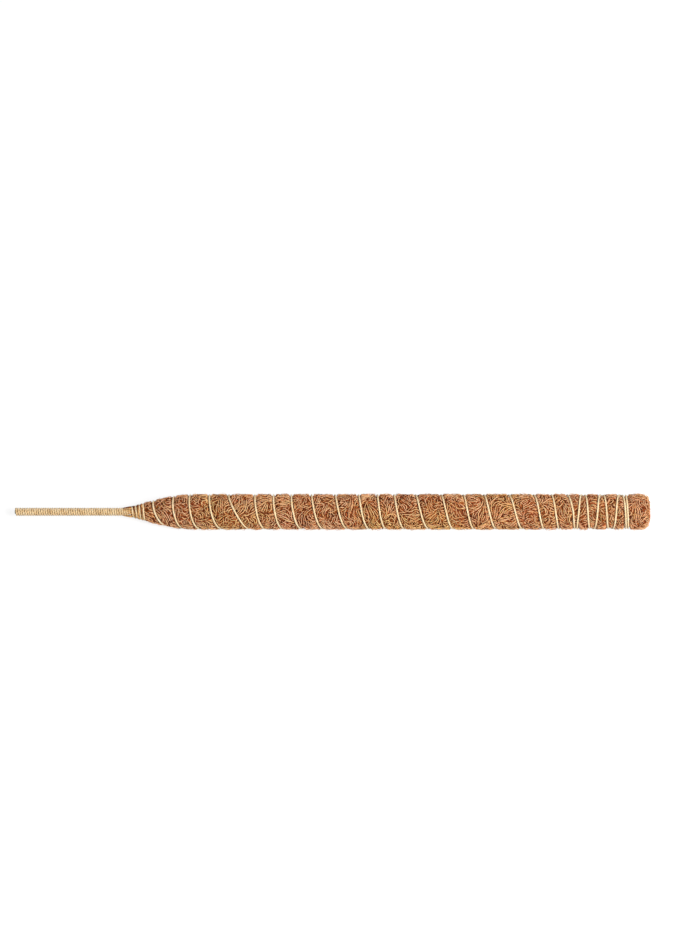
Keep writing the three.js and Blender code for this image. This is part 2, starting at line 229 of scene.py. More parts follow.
def drawn_in(along, angle):
    """Depth of the coir below its crests, under and beside the twine."""
    part = (angle - FRONT_ANGLE) / TURN
    groove = np.zeros(np.shape(along))
    for turn in range(math.floor(-NECK_TURNS - np.max(part)), math.ceil(BINDING_END - np.min(part)) + 1):
        passing = turn + part
        wound = (passing >= -NECK_TURNS) & (passing <= BINDING_END)
        wide = np.where(passing < CLOSE_END, NECK_NARROWING, 1)
        apart = np.abs(along - twine_along(passing)) - wide * GROOVE_FLOOR / 2
        depth = (GROOVE_DEPTH + twine_sink(passing)) * hump(apart / (wide * GROOVE_REACH))
        groove = np.where(wound, np.maximum(groove, depth), groove)
    round_knot = (part - KNOT_MIDDLE + 0.5) % 1 - 0.5
    from_knot = np.hypot(along - twine_along(KNOT_MIDDLE), round_knot * TURN * POLE_RADIUS)
    return groove + KNOT_POCKET * hump(from_knot / KNOT_REACH)


END_STRIP = 1.9 * MM  # of the flat top end, next to the rim
END_SINK = 0.7 * MM  # of the strands on the top end, below its flat face
OUTLINE_LENGTH = STRAIGHT_END + RIM_LENGTH + END_STRIP


def coir_point(outline, angle, depth):
    """Points below the coir's skin. The outline runs from the neck, over the rim and onto the top end."""
    into_rim = np.clip((outline - STRAIGHT_END) / TOP_ROUNDING, 0, math.pi / 2)
    on_end = np.maximum(outline - STRAIGHT_END - RIM_LENGTH, 0)
    along = np.minimum(outline, STRAIGHT_END) + TOP_ROUNDING * np.sin(into_rim)
    radius = roll_radius(along) - TOP_ROUNDING * (1 - np.cos(into_rim)) - on_end
    below = depth + drawn_in(along, angle) + END_SINK * np.sin(into_rim) ** 2
    along = along - below * np.sin(into_rim)
    radius = np.maximum(radius - below * np.cos(into_rim), BORE_RADIUS + CLEARANCE)
    return place(along, angle, radius)


print(f"the twine sinks {GROOVE_DEPTH / MM:.1f} mm into the coir")

# %% [markdown]
# ## Two helpers for finishes
# Colours are written as the sRGB hex values that a colour picker shows, and shaders want linear light, so one
# function turns the one into the other. Another adds a node with its settings, its links and, for a ramp, its stops.
# With those two, each material below reads from top to bottom, from the pattern to the surface that it ends in.

# %% Colours and nodes


def linear(code):
    """An sRGB hex colour as linear RGBA."""
    parts = [int(code[start:start + 2], 16) / 255 for start in (0, 2, 4)]
    light = [part / 12.92 if part <= 0.04045 else ((part + 0.055) / 1.055) ** 2.4 for part in parts]
    return (*light, 1.0)


def add_node(tree, kind, inputs=(), stops=(), **settings):
    """Adds a node with its settings. Inputs are values or other nodes' outputs, stops a ramp's places and colours."""
    node = tree.nodes.new(kind)
    for name, value in settings.items():
        setattr(node, name, value)
    for socket, value in dict(inputs).items():
        if isinstance(value, bpy.types.NodeSocket):
            tree.links.new(value, node.inputs[socket])
        else:
            node.inputs[socket].default_value = value
    for _ in stops[2:]:
        node.color_ramp.elements.new(0.5)
    for number, (spot, code) in enumerate(stops):
        node.color_ramp.elements[number].position = spot
        node.color_ramp.elements[number].color = linear(code)
    return node


def new_finish(name):
    """A material with an empty node tree."""
    material = bpy.data.materials.new(name)
    material.use_nodes = True
    material.node_tree.nodes.clear()
    return material, material.node_tree


print("a mid coir brown in linear light:", [round(part, 3) for part in linear("b38056")[:3]])

# %% [markdown]
# ## Finish: combed coir
# Coir is the husk fibre of the coconut: stiff, matt, and anything from dark russet to straw yellow. Each strand
# carries two numbers of its own. Its tone runs from the dark strands deep in the mat, where shade is painted into
# it, to the light ones on top, and its warmth from russet to golden. Two ramps turn those into colour. A light
# mottle of 4 mm breaks up long strands, and the fine ribs, really 0.05 mm apart, are drawn 0.5 mm apart so that
# they show at all.

# %% Coir strands
RUSSET = ((0.0, "622a10"), (0.25, "a64e24"), (0.5, "e27a44"), (0.75, "ffa468"), (1.0, "ffc99a"))
GOLDEN = ((0.0, "62300c"), (0.25, "a6581e"), (0.5, "e28638"), (0.75, "ffb058"), (1.0, "ffd488"))
MOTTLE = 4 * MM
MOTTLE_SHARE = 0.24  # of the way from the darkest tone to the lightest
RIB = 0.5 * MM
coir_strand, tree = new_finish("coir_fibre_combed")
# The tone attribute also carries painted shade: darker for deep strands and for neck strands on the shaded side.
tone = add_node(tree, "ShaderNodeAttribute", attribute_name="tone").outputs["Fac"]
warmth = add_node(tree, "ShaderNodeAttribute", attribute_name="warmth").outputs["Fac"]
spot = add_node(tree, "ShaderNodeTexCoord").outputs["Object"]
mottle = add_node(tree, "ShaderNodeTexNoise", {"Vector": spot, "Scale": 1 / MOTTLE, "Detail": 2.0}).outputs["Fac"]
shifted = add_node(tree, "ShaderNodeMath", {0: mottle, 1: MOTTLE_SHARE, 2: tone}, operation="MULTIPLY_ADD")
level = add_node(tree, "ShaderNodeMath", {0: shifted.outputs[0], 1: MOTTLE_SHARE / 2}, operation="SUBTRACT")
russet = add_node(tree, "ShaderNodeValToRGB", {"Fac": level.outputs[0]}, RUSSET)
golden = add_node(tree, "ShaderNodeValToRGB", {"Fac": level.outputs[0]}, GOLDEN)
blend = add_node(tree, "ShaderNodeMix", {
    "Factor": warmth, 6: russet.outputs["Color"], 7: golden.outputs["Color"]}, data_type="RGBA")
ribs = add_node(tree, "ShaderNodeTexNoise", {"Vector": spot, "Scale": 1 / RIB, "Detail": 1.0}).outputs["Fac"]
ridged = add_node(tree, "ShaderNodeBump", {"Strength": 0.25, "Distance": 0.1 * MM, "Height": ribs})
rough = add_node(tree, "ShaderNodeMapRange", {"Value": mottle, "To Min": 0.62, "To Max": 0.85})
strand_skin = add_node(tree, "ShaderNodeBsdfPrincipled", {
    "Base Color": blend.outputs[2], "Roughness": rough.outputs[0], "Normal": ridged.outputs[0],
    "Specular IOR Level": 0.25})
add_node(tree, "ShaderNodeOutputMaterial", {"Surface": strand_skin.outputs[0]})
print("finish:", coir_strand.name)

# %% [markdown]
# ## Finish: the mat below
# Between the strands the eye looks into the mat. Its dark brown is mostly painted shade, the shade between the
# strands, and partly pith dust. It only needs enough streaks, a few millimetres apart, to look like more strands
# further down. A Wave texture that reads a noise with a grain of 9 mm, instead of a place, gives bent ones.

# %% Coir mat, deep
# Dark browns: painted shade between the strands, with some pith dust.
DEEP_SHADE_BROWN = ((0.0, "341404"), (0.55, "5a2c0e"), (1.0, "8a4d20"))
TANGLE = 9 * MM
coir_deep, tree = new_finish("coir_mat_painted_shade")
spot = add_node(tree, "ShaderNodeTexCoord").outputs["Object"]
bent = add_node(tree, "ShaderNodeTexNoise", {"Vector": spot, "Scale": 1 / TANGLE, "Detail": 3.0}).outputs["Color"]
streaks = add_node(tree, "ShaderNodeTexWave", {
    "Vector": bent, "Scale": 3.2, "Distortion": 4.0, "Detail": 2.0}, bands_direction="DIAGONAL").outputs["Fac"]
deep = add_node(tree, "ShaderNodeValToRGB", {"Fac": streaks}, DEEP_SHADE_BROWN).outputs["Color"]
matted = add_node(tree, "ShaderNodeBump", {"Strength": 0.6, "Distance": 0.5 * MM, "Height": streaks})
deep_skin = add_node(tree, "ShaderNodeBsdfPrincipled", {
    "Base Color": deep, "Roughness": 0.9, "Specular IOR Level": 0.15, "Normal": matted.outputs[0]})
add_node(tree, "ShaderNodeOutputMaterial", {"Surface": deep_skin.outputs[0]})
print("finish:", coir_deep.name)

# %% [markdown]
# ## Finish: jute yarn
# Jute is a bast fibre, spun damp into yarn: pale straw, with a soft shine along the fibres, darker flecks of bark
# and a furry skin. The twine round the coir is bleached almost to cream, and that on the stake is a shade darker.
# The look is the same, so one function makes both and takes the colours. The yarn's own map runs along it, which
# lets a fine streak follow the twist. Jute fibre is 0.02 mm thick, so the streaks are drawn 0.3 mm apart instead.
# The dark streaks are painted shade between the fibres, and the light ones painted light on their tops.

# %% Jute twine
FIBRE_GAP, FIBRE_RUN = 0.3 * MM, 3 * MM  # across and along a streak
FIBRE_SLANT = math.radians(35)
FLECK = 5 * MM


def jute_finish(name, shade, straw, lit_tops):
    """Spun jute with bark flecks, from painted shade between its fibres to painted light on the top fibres."""
    material, tree = new_finish(name)
    along_yarn = add_node(tree, "ShaderNodeUVMap", uv_map="yarn").outputs["UV"]
    spot = add_node(tree, "ShaderNodeTexCoord").outputs["Object"]
    spun_lay = add_node(tree, "ShaderNodeMapping", {
        "Vector": along_yarn, "Rotation": (0, 0, FIBRE_SLANT), "Scale": (1 / FIBRE_GAP, 1 / FIBRE_RUN, 1)})
    fibres = add_node(tree, "ShaderNodeTexNoise", {
        "Vector": spun_lay.outputs[0], "Scale": 1.0, "Detail": 2.0}).outputs["Fac"]
    flecks = add_node(tree, "ShaderNodeTexNoise", {"Vector": spot, "Scale": 1 / FLECK, "Detail": 3.0}).outputs["Fac"]
    mixed = add_node(tree, "ShaderNodeMath", {0: fibres, 1: flecks}, operation="ADD")
    half = add_node(tree, "ShaderNodeMath", {0: mixed.outputs[0], 1: 0.5}, operation="MULTIPLY").outputs[0]
    # Dark end: painted shade between fibres; light end: painted light on their tops.
    colour = add_node(tree, "ShaderNodeValToRGB", {"Fac": half}, ((0.3, shade), (0.5, straw), (0.7, lit_tops)))
    fur = add_node(tree, "ShaderNodeBump", {"Strength": 0.5, "Distance": 0.15 * MM, "Height": fibres})
    rough = add_node(tree, "ShaderNodeMapRange", {"Value": flecks, "To Min": 0.7, "To Max": 0.9})
    skin = add_node(tree, "ShaderNodeBsdfPrincipled", {
        "Base Color": colour.outputs["Color"], "Roughness": rough.outputs[0], "Normal": fur.outputs[0],
        "Specular IOR Level": 0.3, "Sheen Weight": 0.15, "Sheen Roughness": 0.5})
    add_node(tree, "ShaderNodeOutputMaterial", {"Surface": skin.outputs[0]})
    return material


binding_jute = jute_finish("jute_twine_bleached", "e6bd84", "ffe4b4", "fff4d6")
stake_jute = jute_finish("jute_twine_natural", "bb8e59", "f4d4a1", "ffefce")
print("finishes:", binding_jute.name, "and", stake_jute.name)

# %% [markdown]
# ## Sweeping strands
# Coir strands, hairs and yarns are all the same kind of thing: a thin solid that follows a path. A curve with a
# small profile as its bevel does just that, so one function turns many paths into one mesh. Every path of a piece
# has the same number of points. That keeps the vertices in a known order, and lets us write each strand's own
# numbers and its place on the maps with a few lines of array work.

# %% A mesh of many strands


def finished_mesh(name, body, smooth=True):
    """A mesh from a bmesh, which is freed."""
    mesh = bpy.data.meshes.new(name)
    body.to_mesh(mesh)
    body.free()
    if smooth:
        mesh.shade_smooth()
    return mesh


def rod_profile(sides):
    """A small closed ring, to be the bevel of a curve."""
    ring = bpy.data.curves.new("profile", "CURVE")
    ring.dimensions = "2D"
    spline = ring.splines.new("POLY")
    spline.points.add(sides - 1)
    for side, point in enumerate(spline.points):
        point.co = (math.cos(TURN * side / sides), math.sin(TURN * side / sides), 0, 1)
    spline.use_cyclic_u = True
    return bpy.data.objects.new("profile", ring)


def sweep(name, paths, radii, sides):
    """One mesh of closed rods. Paths are strands by points by 3, and radii are strands by points."""
    curve = bpy.data.curves.new(name, "CURVE")
    curve.dimensions = "3D"
    curve.bevel_mode = "OBJECT"
    curve.bevel_object = rod_profile(sides)
    for path, thickness in zip(paths, radii):
        spline = curve.splines.new("POLY")
        spline.points.add(len(path) - 1)
        spline.points.foreach_set("co", np.column_stack([path, np.ones(len(path))]).ravel())
        spline.points.foreach_set("radius", np.asarray(thickness, float))
    swept = bpy.data.objects.new(name, curve)
    bpy.context.collection.objects.link(swept)
    beveled = swept.evaluated_get(bpy.context.evaluated_depsgraph_get())
    rods = bmesh.new()
    rods.from_mesh(bpy.data.meshes.new_from_object(beveled))
    bpy.data.objects.remove(swept)
    bmesh.ops.holes_fill(rods, edges=rods.edges, sides=0)
    bmesh.ops.recalc_face_normals(rods, faces=rods.faces)
    return finished_mesh(name, rods)


def strand_places(mesh, points, sides):
    """For each corner of each face: its strand, step and side, its face's first step, and whether that is an end."""
    corners = np.empty(len(mesh.loops), int)
    mesh.loops.foreach_get("vertex_index", corners)
    sizes = np.empty(len(mesh.polygons), int)
    mesh.polygons.foreach_get("loop_total", sizes)
    starts = np.concatenate([[0], np.cumsum(sizes)[:-1]])
    strand, step, side = corners // (points * sides), corners // sides % points, corners % sides
    ends = np.repeat(np.maximum.reduceat(step, starts) == np.minimum.reduceat(step, starts), sizes)
    seam = np.repeat(np.maximum.reduceat(side, starts) - np.minimum.reduceat(side, starts), sizes) == sides - 1
    first = np.repeat(np.minimum.reduceat(step, starts), sizes)
    side = np.where(seam & (side == 0) & ~ends, sides, side)
    return strand, step, side, first, ends


def add_map(mesh, name, across, along):
    """Adds a UV map."""
    layer = mesh.uv_layers.new(name=name, do_init=False)
    layer.data.foreach_set("uv", np.column_stack([across, along]).astype(np.float32).ravel())


def add_bake_map(mesh, points, sides, run):
    """A map with a cell for each run of steps of each strand: the sides below, and the ends above them."""
    strand, step, side, first, ends = strand_places(mesh, points, sides)
    number = np.minimum(first, points - 2) // run  # of the run, along its strand
    cell = strand * math.ceil((points - 1) / run) + number
    grid = math.ceil(math.sqrt(cell.max() + 1))
    end_across, side_across = 0.1 + 0.3 * (side % 2) + 0.4 * (step > 0), 0.06 + 0.88 * side / sides
    end_along, side_along = 0.86 + 0.1 * (side // 2 % 2), 0.05 + 0.75 * (step - number * run) / run
    across, along = np.where(ends, end_across, side_across), np.where(ends, end_along, side_along)
    add_map(mesh, "OFBake", (cell % grid + across) / grid, (cell // grid + along) / grid)


def add_strand_numbers(mesh, points, sides, **numbers):
    """Writes one number of each strand to all of its vertices."""
    for name, values in numbers.items():
        layer = mesh.attributes.new(name, "FLOAT", "POINT")
        layer.data.foreach_set("value", np.repeat(values, points * sides).astype(np.float32))


def keep_piece(name, mesh, material, slot, *nodes):
    """Makes the finished piece: on the pole's body, with its finish, standing for its solids."""
    piece = bpy.data.objects.new(name, mesh)
    bpy.context.collection.objects.link(piece)
    mesh.materials.append(material)
    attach(piece, "root")
    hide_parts(*nodes)
    print(f"{name}: {sum(len(face.vertices) - 2 for face in mesh.polygons)} triangles")


print("a strand is one closed rod, and a piece is a mesh of many")

# %% [markdown]
# ## The mat under the strands
# Below the loose strands lies a felted mat that you can't see through. Its outline is a line of points, spun once
# round the axis. Lofting rings by hand would give the same, but Spin closes the seam for us. Then every vertex is
# drawn in by the twine and lifted to the floor, where the pole's weight presses the coir flat.

# %% Coir mat
MAT_SIDES = 64
MAT_RINGS = 320
MAT_START = 0.5 * MM
MAT_DEPTH = 1.9 * MM
MAT_END_DEPTH = 2.5 * MM  # of its inner edge, below the top end
MAT_HEIGHT = 0.8 * MM  # of its flat underside, above the floor
SKIN_START, SKIN_END = 0.6 * MM, STRAIGHT_END - 2 * MM  # between these the twine draws it in
MERGE_REACH = 0.01 * MM


def spun(outline, sides):
    """A bmesh spun round the pole's axis from a line of (along, radius) points."""
    body = bmesh.new()
    line = [body.verts.new((NECK_X + along, 0, AXIS_HEIGHT + radius)) for along, radius in outline]
    edges = [body.edges.new(pair) for pair in zip(line, line[1:])]
    bmesh.ops.spin(body, geom=line + edges, cent=(0, 0, AXIS_HEIGHT), axis=(1, 0, 0), angle=TURN, steps=sides,
                   use_merge=True)
    bmesh.ops.remove_doubles(body, verts=body.verts, dist=MERGE_REACH)
    bmesh.ops.recalc_face_normals(body, faces=body.faces)
    return body


mat_outline = [(MAT_START, BORE_RADIUS)]
for ring in np.linspace(MAT_START, OUTLINE_LENGTH, MAT_RINGS):
    spot = coir_point(ring, FRONT_ANGLE, MAT_DEPTH)
    mat_outline.append((spot[0] - NECK_X, math.hypot(spot[1], spot[2] - AXIS_HEIGHT)))
mat_outline.append((COIR_LENGTH - MAT_END_DEPTH, POLE_RADIUS - GROOVE_DEPTH - MAT_THICKNESS))
mat = spun(mat_outline, MAT_SIDES)
corners = np.array([vertex.co for vertex in mat.verts])
along = corners[:, 0] - NECK_X
angle = np.arctan2(corners[:, 2] - AXIS_HEIGHT, corners[:, 1])
skin_radius = np.maximum(roll_radius(along) - MAT_DEPTH - drawn_in(along, angle), BORE_RADIUS + CLEARANCE)
outside = (along > SKIN_START) & (along < SKIN_END)
corners = np.where(outside[:, None], place(along, angle, skin_radius), corners)
corners[:, 2] = np.maximum(corners[:, 2], MAT_HEIGHT)
for vertex, corner in zip(mat.verts, corners):
    vertex.co = corner
keep_piece("coir_mat_deep", finished_mesh("coir_mat_deep", mat), coir_deep, "coir", "coir_mat")

# %% [markdown]
# ## Strands that keep their distance
# Carded coir lies in swirls: neighbours run side by side, and the eye sees light strands with dark gaps between
# them. Scattered strands would leave heaps and holes, and hair particles would not dive under the twine. So we grow
# strands one by one along a smooth flow, each from a free place until it comes too near to another. A dictionary
# of small cells tells what is near. Real coir is 0.1 to 0.4 mm thick and would blur to a flat brown at this
# distance, so the strands are drawn three times as thick or more, with gaps to match.

# %% Growing strands along a flow
STRAND_POINTS = 9
STRAND_SIDES = 3
FEWEST_PLACES = 3
LENGTH_SHARES = (0.6, 1.15)  # of a layer's usual length
SWIRL = 28 * MM
SWING = 2.2 * math.pi  # how far the flow can turn either way
STRAY = 0.05  # radians, how far a strand keeps off the flow
FIELD_SHIFT = 37.7  # from the noise of one seed to that of the next
NEAREST_END = 0.5  # of the spacing, how near a growing end may come to another strand
SIDE_STEP = 1.04  # of the spacing, to the places beside a strand
OUTLINE_START = 0.4 * MM
LEAST_RADIUS = 4 * MM
rng = np.random.default_rng(20)


def field(point, size, seed):
    """Smooth noise between about -1 and 1 at a point, with patches of a size."""
    return noise.noise(point / size + Vector((0, 0, FIELD_SHIFT * seed)))


def skin_place(outline, angle):
    """A point on the coir before the twine draws it in, and the radius there, quickly for one place at a time."""
    into_rim = min(max((outline - STRAIGHT_END) / TOP_ROUNDING, 0), math.pi / 2)
    on_end = max(outline - STRAIGHT_END - RIM_LENGTH, 0)
    along = min(outline, STRAIGHT_END) + TOP_ROUNDING * math.sin(into_rim)
    radius = float(roll_radius(along)) - TOP_ROUNDING * (1 - math.cos(into_rim)) - on_end
    return Vector((along, radius * math.cos(angle), radius * math.sin(angle))), radius


def cells_round(point, size):
    """The cell of a point and those that touch it."""
    x, y, z = (math.floor(part / size) for part in point)
    return [(x + i, y + j, z + k) for i in (0, -1, 1) for j in (0, -1, 1) for k in (0, -1, 1)]


def is_near(taken, point, size, reach):
    """Whether a laid strand is nearer to the point than a reach, which is at most the size of a cell."""
    return any((other - point).length_squared < reach**2
               for cell in cells_round(point, size) for other in taken.get(cell, ()))


def grow_half(taken, outline, angle, step, steps, spacing, seed, bias):
    """One half of a strand: places along the flow until something is near. A negative step grows it backwards."""
    places = []
    for _ in range(steps):
        point, radius = skin_place(outline, angle)
        heading = bias + SWING * field(point, SWIRL, seed)
        outline += step * math.cos(heading)
        angle += step * math.sin(heading) / max(radius, LEAST_RADIUS)
        if not OUTLINE_START < outline < OUTLINE_LENGTH:
            break
        if is_near(taken, skin_place(outline, angle)[0], spacing, NEAREST_END * spacing):
            break
        places.append((outline, angle))
    return places


def places_beside(strand, spacing):
    """Places on both sides of a strand, at its spacing, where others can start."""
    for (outline, angle), (ahead, turned) in zip(strand, np.gradient(strand, axis=0)):
        radius = max(skin_place(outline, angle)[1], LEAST_RADIUS)
        reach = SIDE_STEP * spacing / math.hypot(ahead, turned * radius)
        for side in (-reach, reach):
            yield outline - side * turned * radius, angle + side * ahead / radius


def grow(spacing, length, seed):
    """Strands over the whole coir. Returns their outlines and angles, one row for each strand."""
    taken, strands, free = {}, [], [(COIR_LENGTH / 2, 0.0)]
    while free:
        chosen = int(rng.integers(len(free)))
        free[chosen], free[-1] = free[-1], free[chosen]
        outline, angle = free.pop()
        inside = OUTLINE_START < outline < OUTLINE_LENGTH
        if not inside or is_near(taken, skin_place(outline, angle)[0], spacing, spacing):
            continue
        step = length / (STRAND_POINTS - 1) * rng.uniform(*LENGTH_SHARES)
        bias, split = rng.normal(0, STRAY), int(rng.integers(2, STRAND_POINTS - 2))
        behind = grow_half(taken, outline, angle, -step, split, spacing, seed, bias)
        ahead = grow_half(taken, outline, angle, step, STRAND_POINTS - 1 - split, spacing, seed, bias)
        strand = np.array(behind[::-1] + [(outline, angle)] + ahead)
        if len(strand) < FEWEST_PLACES:
            continue
        even = np.linspace(0, len(strand) - 1, 2 * STRAND_POINTS - 1)
        fine = np.stack([np.interp(even, np.arange(len(strand)), part) for part in strand.T], axis=-1)
        for spot in fine:
            point = skin_place(*spot)[0]
            taken.setdefault(cells_round(point, spacing)[0], []).append(point)
        strands.append(fine[::2].T)
        free.extend(places_beside(fine[::4], spacing))
    return np.moveaxis(np.array(strands), 1, 0)


print(f"strands of {STRAND_POINTS} points and {STRAND_SIDES} sides follow swirls of {SWIRL / MM:.0f} mm")

# %% [markdown]
# ## Layers, from painted shade to light strands
# Four layers lie on each other, from a dark fill to light strands on top; the deeper a layer, the darker its tones,
# which paints the shade in the mat. Each strand bows: its ends dip into the layer below, as if it were tucked in. Its
# tone follows its layer, and its warmth drifts over patches of a few centimetres, because a mat is carded from more
# than one batch of husk.

# %% Layers of coir
PATCH = 55 * MM
TONE_DRIFT = 0.04
WARMTH_MIDDLE, WARMTH_DRIFT, WARMTH_SPREAD = 0.2, 0.9, 0.2
TONE_SEED, WARMTH_SEED = 5, 9
END_DIP = 0.35 * MM
END_TAPER = 0.55
DEPTH_SPREAD = 0.12 * MM
RADIUS_SHARES = (0.75, 1.2)  # of a layer's usual radius


def lay(spacing, length, radius, depth, darkest, lightest, seed):
    """A layer of strands. Returns paths, radii, tones and warmths, one row for each strand."""
    outline, angle = grow(spacing, length, seed)
    count = len(outline)
    way = np.linspace(-1, 1, STRAND_POINTS)[None, :]
    below = depth + rng.normal(0, DEPTH_SPREAD, count)[:, None] + END_DIP * way**2
    paths = coir_point(outline, angle, below)
    radii = radius * rng.uniform(*RADIUS_SHARES, count)[:, None] * (1 - END_TAPER * way**4)
    paths[..., 2] = np.maximum(paths[..., 2], radii)
    middles = [Vector(middle) for middle in paths[:, STRAND_POINTS // 2]]
    shade = np.array([field(middle, PATCH / 2, TONE_SEED) for middle in middles])
    batch = np.array([field(middle, PATCH, WARMTH_SEED) for middle in middles])
    tones = np.clip(rng.uniform(darkest, lightest, count) + TONE_DRIFT * shade, 0, 1)
    warmths = np.clip(WARMTH_MIDDLE + WARMTH_DRIFT * batch + rng.normal(0, WARMTH_SPREAD, count), 0, 1)
    print(f"{count} strands, {depth / MM:.1f} mm below the crests")
    return paths, radii, tones, warmths


# The deeper layers have darker tones: painted shade.
layers = [  # spacing, length, radius, depth, darkest and lightest tone, and seed
    lay(2.2 * MM, 16 * MM, 0.6 * MM, 1.9 * MM, 0.0, 0.2, 1),
    lay(1.7 * MM, 20 * MM, 0.42 * MM, 1.35 * MM, 0.16, 0.5, 2),
    lay(2.15 * MM, 28 * MM, 0.48 * MM, 0.55 * MM, 0.95, 1.0, 3),
    lay(3.8 * MM, 20 * MM, 0.3 * MM, 0.15 * MM, 0.95, 1.0, 4),
]
paths, radii, tones, warmths = (np.concatenate(parts) for parts in zip(*layers))

# %% [markdown]
# ## Pieces of combed coir
# One mesh with all those strands would be slow to handle, so they are shared out over stretches of the pole, in
# order of the place of each strand's middle. Hairs and strand ends are made in the same way further down, so a
# function does it.

# %% Strands as pieces
STRETCHES = 5


def strand_piece(name, paths, radii, tones, warmths, slot="coir", node="coir_mat"):
    """A piece of coir strands, each with a tone and a warmth of its own."""
    points = paths.shape[1]
    mesh = sweep(name, paths, radii, STRAND_SIDES)
    add_strand_numbers(mesh, points, STRAND_SIDES, tone=tones, warmth=warmths)
    add_bake_map(mesh, points, STRAND_SIDES, points - 1)
    keep_piece(name, mesh, coir_strand, slot, node)


order = np.argsort(paths[:, STRAND_POINTS // 2, 0])
for stretch, chosen in enumerate(np.array_split(order, STRETCHES), 1):
    strand_piece(f"coir_strands_{stretch}", paths[chosen], radii[chosen], tones[chosen], warmths[chosen])

# %% [markdown]
# ## Stray hairs
# A few ends spring loose and make the outline ragged. They are strands too, only finer, and they rise from the
# coir instead of lying on it.

# %% Loose hairs on the coir
HAIRS = 1500
HAIR_POINTS = 5
HAIR_RADIUS = 0.2 * MM
HAIR_LENGTHS = (5 * MM, 14 * MM)
HAIR_CURL = 0.9  # radians
HAIR_ROOT_DEPTH = 0.6 * MM
HAIR_RISES = (0.2 * MM, 1.8 * MM)  # of the tips, above the crests
RISE_POWER = 1.4
HAIRS_START = 12 * MM
FLOOR_GAP = 0.25 * MM
HAIR_TONES, HAIR_WARMTHS = (0.45, 0.95), (0.2, 0.9)
root_outline = rng.uniform(HAIRS_START, OUTLINE_LENGTH, HAIRS)
root_angle = rng.uniform(0, TURN, HAIRS)
lean, length = rng.uniform(0, TURN, HAIRS), rng.uniform(*HAIR_LENGTHS, HAIRS)
rise = rng.uniform(*HAIR_RISES, HAIRS)
way = np.linspace(0, 1, HAIR_POINTS)[None, :]
bend = lean[:, None] + rng.normal(0, HAIR_CURL, HAIRS)[:, None] * way
step = length[:, None] / (HAIR_POINTS - 1)
ahead, aside = np.cumsum(np.cos(bend) * step, axis=1), np.cumsum(np.sin(bend) * step, axis=1)
outline = np.clip(root_outline[:, None] + ahead, 1 * MM, OUTLINE_LENGTH)
angle = root_angle[:, None] + aside / np.maximum(roll_radius(outline), 5 * MM)
hairs = coir_point(outline, angle, HAIR_ROOT_DEPTH - (rise[:, None] + HAIR_ROOT_DEPTH) * way**RISE_POWER)
hairs[..., 2] = np.maximum(hairs[..., 2], FLOOR_GAP)
hair_radii = HAIR_RADIUS * (1 - 0.5 * np.repeat(way, HAIRS, axis=0))
hair_tones, hair_warmths = rng.uniform(*HAIR_TONES, HAIRS), rng.uniform(*HAIR_WARMTHS, HAIRS)
strand_piece("coir_hairs", hairs, hair_radii, hair_tones, hair_warmths)

# %% [markdown]
# ## The neck
# Where the roll begins, strand ends run out over the stake's last turns of twine, so the neck swells out of the
# stake without a step. They start thin on the stake and dive under the lashing, and on the side away from the light
# more of them are painted dark, as painted shade. Between its close turns the squeezed coir swells up again, so more
# strands are laid there along the twine.

# %% Strand ends over the stake
STAKE_RADIUS = SHEATH_RADIUS + CLEARANCE + TWINE_DIAMETER
TUFT = 150  # strand ends over the stake
TUFT_REACH = 10 * MM
TUFT_ENDS = (6 * MM, 16 * MM)  # how far they run into the neck
TUFT_TWIST = 0.3  # radians
TUFT_DEPTH = 0.35 * MM
TUFT_RADII = (0.18 * MM, 0.3 * MM)
SKIRT_POWER = 1.3
way = np.linspace(0, 1, STRAND_POINTS)[None, :]
tuft_start = -TUFT_REACH * rng.random(TUFT)
tuft_angle = rng.uniform(0, TURN, TUFT)
# How far each strand end lies on the side away from the light, where more are painted dark as painted shade.
shaded = np.clip(np.cos(tuft_angle - FRONT_ANGLE + TURN / 4), 0, 1)
along = tuft_start[:, None] + (rng.uniform(*TUFT_ENDS, TUFT) - tuft_start)[:, None] * way
angle = tuft_angle[:, None] + rng.normal(0, TUFT_TWIST, TUFT)[:, None] * way
skirt = STAKE_RADIUS + (NECK_RADIUS - STAKE_RADIUS) * np.clip(1 + along / TUFT_REACH, 0, 1) ** SKIRT_POWER
in_neck = coir_point(np.maximum(along, OUTLINE_START), angle, TUFT_DEPTH)
in_neck_radius = np.hypot(in_neck[..., 1], in_neck[..., 2] - AXIS_HEIGHT)
tuft = place(along, angle, skirt + (in_neck_radius - skirt) * np.clip(along / (2 * MM) + 0.5, 0, 1))
tuft_radii = rng.uniform(*TUFT_RADII, TUFT)[:, None] * (0.35 + 0.65 * np.sqrt(way))
print(f"{TUFT} strand ends over the stake")

# %% Strands between the close turns
SWELLING = 110  # strands
SWELLING_END = -0.9  # the turn after which none starts
SWELLING_ARCS = (0.1, 0.25)  # of a turn
SWELLING_SPREAD = 0.45 * MM
SWELLING_DEPTHS = (0.1 * MM, 0.8 * MM)
SWELLING_BOW = 0.5 * MM
SWELLING_RADII = (0.3 * MM, 0.45 * MM)
start, arc = rng.uniform(-NECK_TURNS, SWELLING_END, SWELLING), rng.uniform(*SWELLING_ARCS, SWELLING)
turn = start[:, None] + arc[:, None] * way
between = (twine_along(turn) + twine_along(turn + 1)) / 2 + rng.normal(0, SWELLING_SPREAD, SWELLING)[:, None]
swell_depth = rng.uniform(*SWELLING_DEPTHS, SWELLING)[:, None] + SWELLING_BOW * (2 * way - 1) ** 2
swelling = place(between, FRONT_ANGLE + turn * TURN, crest_radius(between) - swell_depth)
swell_radii = np.repeat(rng.uniform(*SWELLING_RADII, SWELLING)[:, None], STRAND_POINTS, axis=1)
print(f"{SWELLING} strands between the close turns")

